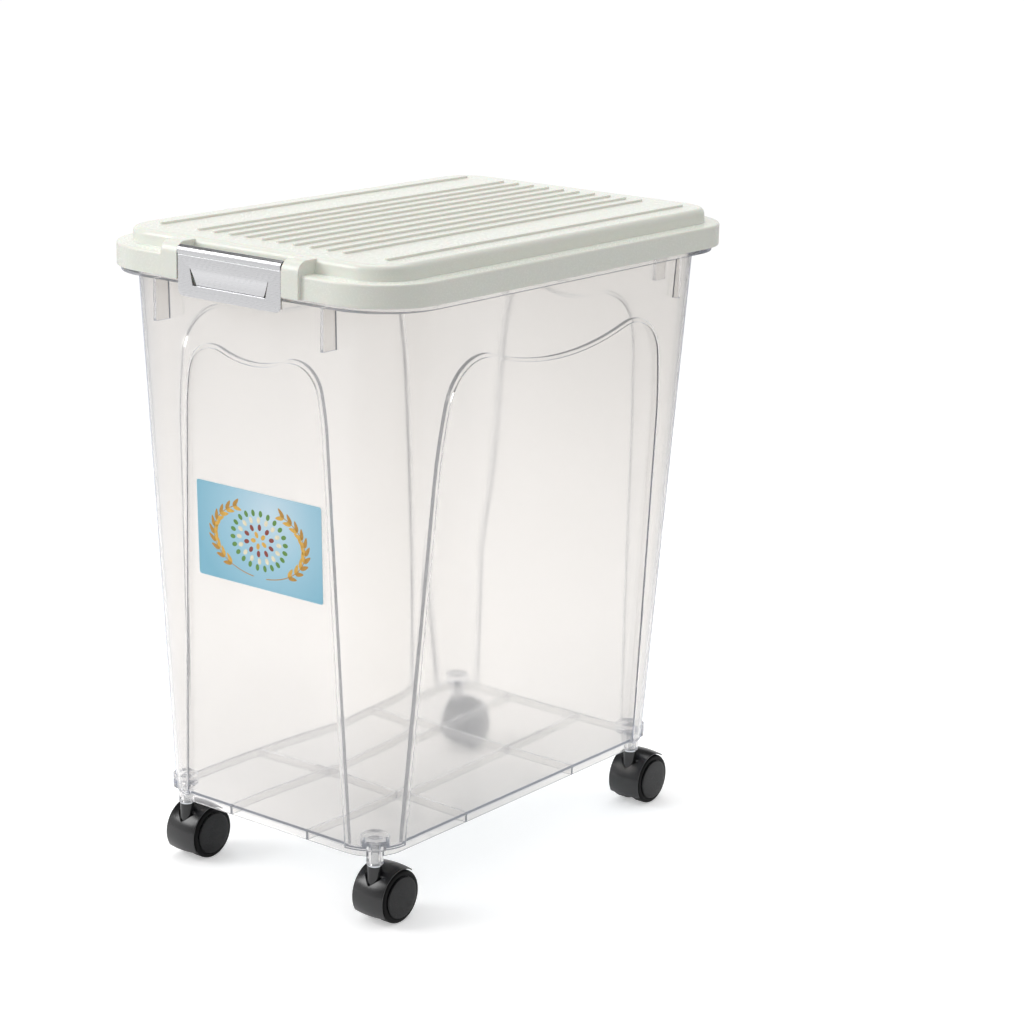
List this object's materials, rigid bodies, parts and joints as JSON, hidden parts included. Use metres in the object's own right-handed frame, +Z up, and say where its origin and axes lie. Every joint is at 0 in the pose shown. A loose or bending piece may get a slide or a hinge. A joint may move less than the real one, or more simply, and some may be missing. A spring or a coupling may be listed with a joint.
{
  "type": "rice storage bin",
  "caption": "Tall clear storage bin for rice and grain with wave-topped sunk panels, a hinged ribbed lid with a steel-faced flip latch, and swivelling twin-wheel casters.",
  "frame": {"origin": "on the floor, under the middle of the whole bin's box", "axes": "+Z up, -Y towards the latch (the narrow front), +X to the right seen from the front"},
  "size_m": [0.295, 0.45, 0.51],
  "materials": {
    "clear_plastic": "clear moulded polypropylene, glossy, slightly hazy",
    "ivory_plastic": "ivory moulded polypropylene, satin gloss",
    "label_paper": "printed paper label with a clear gloss film",
    "brushed_steel": "pressed sheet, fine brushing along its length",
    "bright_steel": "bright plated steel rod",
    "seal_rubber": "pale silicone strip",
    "black_plastic": "black moulded nylon, satin",
    "wheel_plastic": "black moulded nylon, satin disc and tread"
  },
  "bodies": {
    "bin": {"bin_body": "clear_plastic", "front_label": "label_paper", "hinge_pin_left": "bright_steel", "hinge_pin_right": "bright_steel"},
    "lid": {"lid_shell": "ivory_plastic", "lid_seal": "seal_rubber", "latch_pin": "bright_steel"},
    "latch": {"latch_plate": "brushed_steel", "latch_core": "ivory_plastic"},
    "caster_fl": {"caster_hood_fl": "black_plastic", "caster_stem_fl": "bright_steel", "caster_axle_fl": "bright_steel"},
    "wheel_left_fl": {"wheel_left_fl": "wheel_plastic"},
    "wheel_right_fl": {"wheel_right_fl": "wheel_plastic"},
    "caster_fr": {"caster_hood_fr": "black_plastic", "caster_stem_fr": "bright_steel", "caster_axle_fr": "bright_steel"},
    "wheel_left_fr": {"wheel_left_fr": "wheel_plastic"},
    "wheel_right_fr": {"wheel_right_fr": "wheel_plastic"},
    "caster_bl": {"caster_hood_bl": "black_plastic", "caster_stem_bl": "bright_steel", "caster_axle_bl": "bright_steel"},
    "wheel_left_bl": {"wheel_left_bl": "wheel_plastic"},
    "wheel_right_bl": {"wheel_right_bl": "wheel_plastic"},
    "caster_br": {"caster_hood_br": "black_plastic", "caster_stem_br": "bright_steel", "caster_axle_br": "bright_steel"},
    "wheel_left_br": {"wheel_left_br": "wheel_plastic"},
    "wheel_right_br": {"wheel_right_br": "wheel_plastic"}
  },
  "joints": [
    {"name": "lid_hinge", "type": "hinge", "parent": "bin", "child": "lid", "pos_m": [0, 0.2205, 0.47775], "axis": [-1, 0, 0], "range_deg": [0, 105]},
    {"name": "latch_hinge", "type": "hinge", "parent": "lid", "child": "latch", "pos_m": [0, -0.221, 0.5015], "axis": [-1, 0, 0], "range_deg": [0, 100]},
    {"name": "swivel_fl", "type": "hinge", "parent": "bin", "child": "caster_fl", "pos_m": [-0.098, -0.172, 0.048], "axis": [0, 0, 1], "continuous": true},
    {"name": "roll_left_fl", "type": "hinge", "parent": "caster_fl", "child": "wheel_left_fl", "pos_m": [-0.098, -0.158, 0.021], "axis": [1, 0, 0], "continuous": true},
    {"name": "roll_right_fl", "type": "hinge", "parent": "caster_fl", "child": "wheel_right_fl", "pos_m": [-0.098, -0.158, 0.021], "axis": [1, 0, 0], "continuous": true},
    {"name": "swivel_fr", "type": "hinge", "parent": "bin", "child": "caster_fr", "pos_m": [0.098, -0.172, 0.048], "axis": [0, 0, 1], "continuous": true},
    {"name": "roll_left_fr", "type": "hinge", "parent": "caster_fr", "child": "wheel_left_fr", "pos_m": [0.098, -0.158, 0.021], "axis": [1, 0, 0], "continuous": true},
    {"name": "roll_right_fr", "type": "hinge", "parent": "caster_fr", "child": "wheel_right_fr", "pos_m": [0.098, -0.158, 0.021], "axis": [1, 0, 0], "continuous": true},
    {"name": "swivel_bl", "type": "hinge", "parent": "bin", "child": "caster_bl", "pos_m": [-0.098, 0.16, 0.048], "axis": [0, 0, 1], "continuous": true},
    {"name": "roll_left_bl", "type": "hinge", "parent": "caster_bl", "child": "wheel_left_bl", "pos_m": [-0.098, 0.174, 0.021], "axis": [1, 0, 0], "continuous": true},
    {"name": "roll_right_bl", "type": "hinge", "parent": "caster_bl", "child": "wheel_right_bl", "pos_m": [-0.098, 0.174, 0.021], "axis": [1, 0, 0], "continuous": true},
    {"name": "swivel_br", "type": "hinge", "parent": "bin", "child": "caster_br", "pos_m": [0.098, 0.16, 0.048], "axis": [0, 0, 1], "continuous": true},
    {"name": "roll_left_br", "type": "hinge", "parent": "caster_br", "child": "wheel_left_br", "pos_m": [0.098, 0.174, 0.021], "axis": [1, 0, 0], "continuous": true},
    {"name": "roll_right_br", "type": "hinge", "parent": "caster_br", "child": "wheel_right_br", "pos_m": [0.098, 0.174, 0.021], "axis": [1, 0, 0], "continuous": true}
  ]
}
